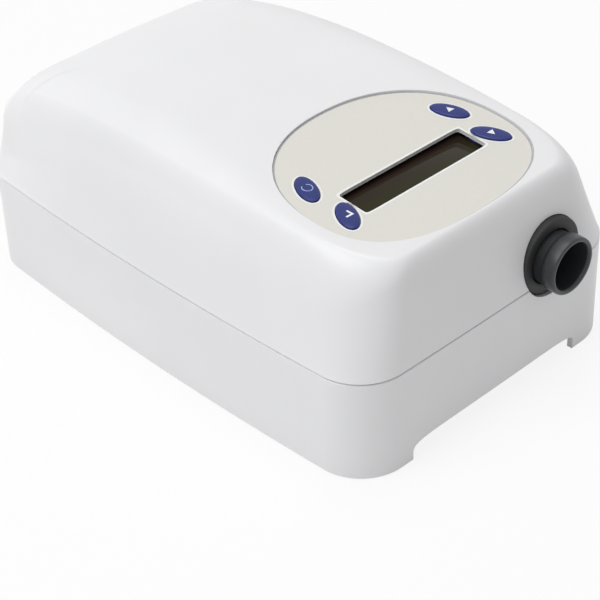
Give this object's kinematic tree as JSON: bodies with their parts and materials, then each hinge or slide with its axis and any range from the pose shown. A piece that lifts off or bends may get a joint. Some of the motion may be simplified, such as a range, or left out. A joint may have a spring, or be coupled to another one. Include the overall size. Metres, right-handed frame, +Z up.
{
  "type": "cpap machine",
  "caption": "White bedside CPAP machine with a pale key panel on its sloping top, a dark display window, blue oval keys and a dark air outlet at the front.",
  "frame": {"origin": "middle of the machine's plan, outlet included, on the surface that it stands on", "axes": "+Z up, the front with the air outlet faces -Y, +X to the right seen from the front"},
  "size_m": [0.141, 0.2215, 0.089],
  "materials": {
    "case_white": "satin",
    "panel_grey": "satin",
    "key_blue": "satin",
    "glass_dark": "gloss",
    "port_grey": "satin",
    "ring_black": "matte",
    "rubber_black": "matte",
    "foam_grey": "open-cell",
    "steel": "satin",
    "copper_wound": "enamelled",
    "aluminium": "satin",
    "board_green": "satin",
    "chip_black": "satin",
    "inner_plastic": "satin",
    "wheel_white": "satin",
    "cream_plastic": "satin",
    "ribbon_white": "satin",
    "tube_clear": "satin"
  },
  "bodies": {
    "housing": {"blower_mount_1": "rubber_black", "blower_mount_2": "rubber_black", "blower_mount_3": "rubber_black", "capacitor": "chip_black", "case_screw_1": "steel", "case_screw_2": "steel", "case_screw_3": "steel", "case_screw_4": "steel", "display_ribbon": "ribbon_white", "filter_foam": "foam_grey", "heat_sink": "aluminium", "inlet_bonnet": "inner_plastic", "inlet_box": "inner_plastic", "inlet_foam": "foam_grey", "inlet_hose": "rubber_black", "key_board": "board_green", "key_board_screw_1": "steel", "key_board_screw_2": "steel", "key_mat": "rubber_black", "lcd_backlight": "cream_plastic", "lcd_frame": "steel", "lcd_glass": "glass_dark", "left_pin": "steel", "lower_bearing": "steel", "lower_case": "case_white", "main_board": "board_green", "main_board_screw_1": "steel", "main_board_screw_2": "steel", "mains_socket": "chip_black", "motor_can": "steel", "motor_stator": "copper_wound", "outlet_ring": "ring_black", "outlet_sleeve": "rubber_black", "outlet_tube": "port_grey", "panel_overlay": "panel_grey", "pressure_sensor": "chip_black", "ribbon_socket": "cream_plastic", "right_pin": "steel", "rubber_foot_1": "rubber_black", "rubber_foot_2": "rubber_black", "rubber_foot_3": "rubber_black", "rubber_foot_4": "rubber_black", "sensor_tube": "tube_clear", "switch_body": "chip_black", "transformer": "copper_wound", "upper_bearing": "steel", "upper_case": "case_white", "volute_base": "inner_plastic", "volute_cover": "inner_plastic"},
    "fan": {"impeller": "wheel_white", "motor_shaft": "steel", "motor_rotor": "chip_black"},
    "power_key": {"key_power": "key_blue"},
    "enter_key": {"key_enter": "key_blue"},
    "up_key": {"key_up": "key_blue"},
    "down_key": {"key_down": "key_blue"},
    "rocker": {"mains_rocker": "chip_black"},
    "filter_door": {"filter_cover": "case_white"}
  },
  "joints": [
    {"name": "fan_spin", "type": "hinge", "parent": "housing", "child": "fan", "pos_m": [-0.006, -0.00428, 0.045], "axis": [0, 0, 1], "continuous": true},
    {"name": "power_press", "type": "slide", "parent": "housing", "child": "power_key", "axis": [0, 0.0872, -0.9962], "range_m": [0, 0.0008], "stiffness_N_per_m": 600},
    {"name": "enter_press", "type": "slide", "parent": "housing", "child": "enter_key", "axis": [0, 0.0872, -0.9962], "range_m": [0, 0.0008], "stiffness_N_per_m": 600},
    {"name": "up_press", "type": "slide", "parent": "housing", "child": "up_key", "axis": [0, 0.0872, -0.9962], "range_m": [0, 0.0008], "stiffness_N_per_m": 600},
    {"name": "down_press", "type": "slide", "parent": "housing", "child": "down_key", "axis": [0, 0.0872, -0.9962], "range_m": [0, 0.0008], "stiffness_N_per_m": 600},
    {"name": "mains_switch", "type": "hinge", "parent": "housing", "child": "rocker", "pos_m": [-0.013, 0.10605, 0.038], "axis": [-1, 0, 0], "range_deg": [0, 16]},
    {"name": "filter_door_swing", "type": "hinge", "parent": "housing", "child": "filter_door", "pos_m": [0.024, 0.10922, 0.023], "axis": [-1, 0, 0], "range_deg": [0, 70]}
  ]
}
